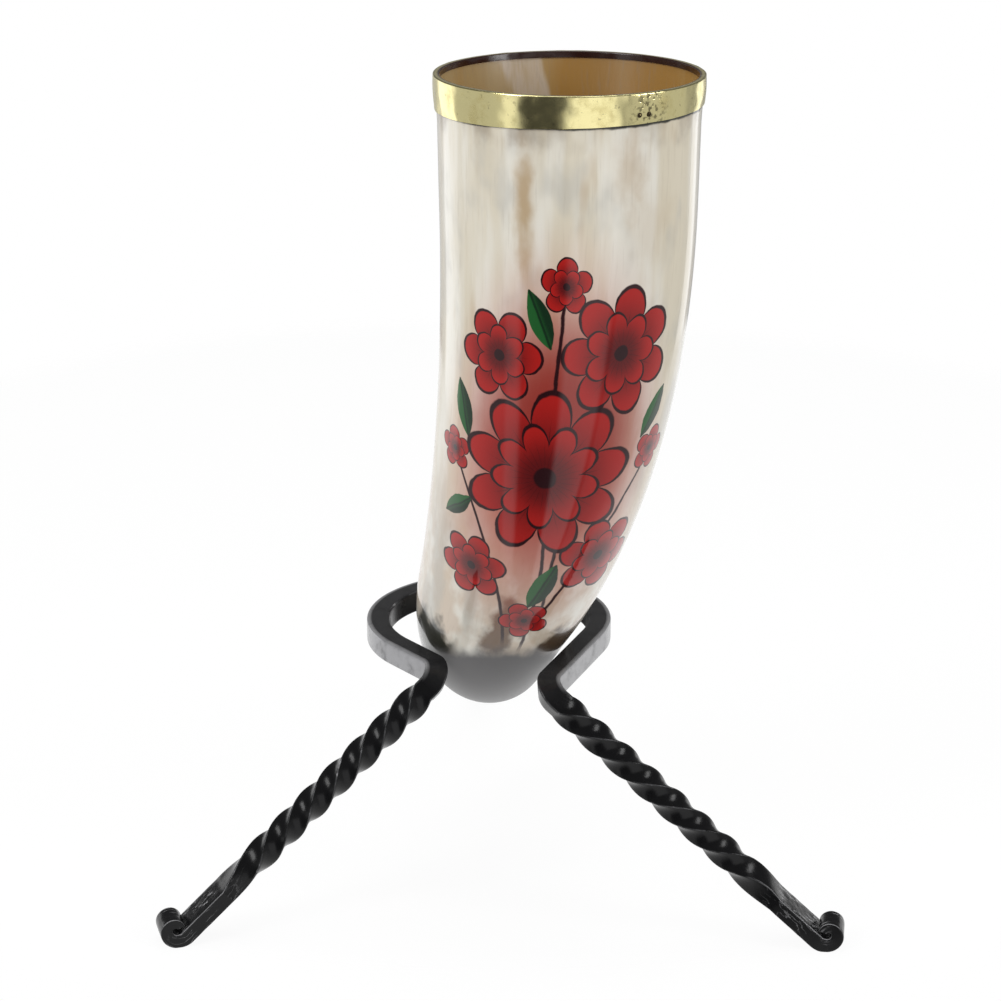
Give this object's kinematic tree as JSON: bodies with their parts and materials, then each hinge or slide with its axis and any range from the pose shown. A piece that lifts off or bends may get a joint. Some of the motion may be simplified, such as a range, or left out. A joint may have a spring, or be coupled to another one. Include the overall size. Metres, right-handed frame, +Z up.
{
  "type": "drinking horn",
  "caption": "Curved drinking horn with a folded brass rim, held upright by a forged iron tripod stand with a ring, twisted legs and scroll feet; the horn is drawn out of the ring to drink from",
  "frame": {"origin": "middle of the part's box, on the floor that the three feet stand on", "axes": "+Z up, the open front of the stand's ring faces -Y, the horn's tip points to +Y"},
  "size_m": [0.2018, 0.225, 0.2541],
  "materials": {
    "horn": "polished and lacquered natural horn, cream with tan and grey streaks, dark towards the tip",
    "brass": "worn hammered brass",
    "dark_pin": "darkened pin heads",
    "black_iron": "forged iron, satin black"
  },
  "bodies": {
    "stand": {"stand_bar": "black_iron", "rear_leg": "black_iron", "rear_leg_rivet": "black_iron"},
    "horn": {"horn_shell": "horn", "rim_band": "brass", "rim_pin_1": "dark_pin", "rim_pin_2": "dark_pin"}
  },
  "joints": [
    {"name": "horn_withdraw", "type": "hinge", "parent": "stand", "child": "horn", "pos_m": [0.04614, 0.0183, 0.12054], "axis": [-0.7852, 0.3926, 0.4788], "range_deg": [0, 70]}
  ]
}
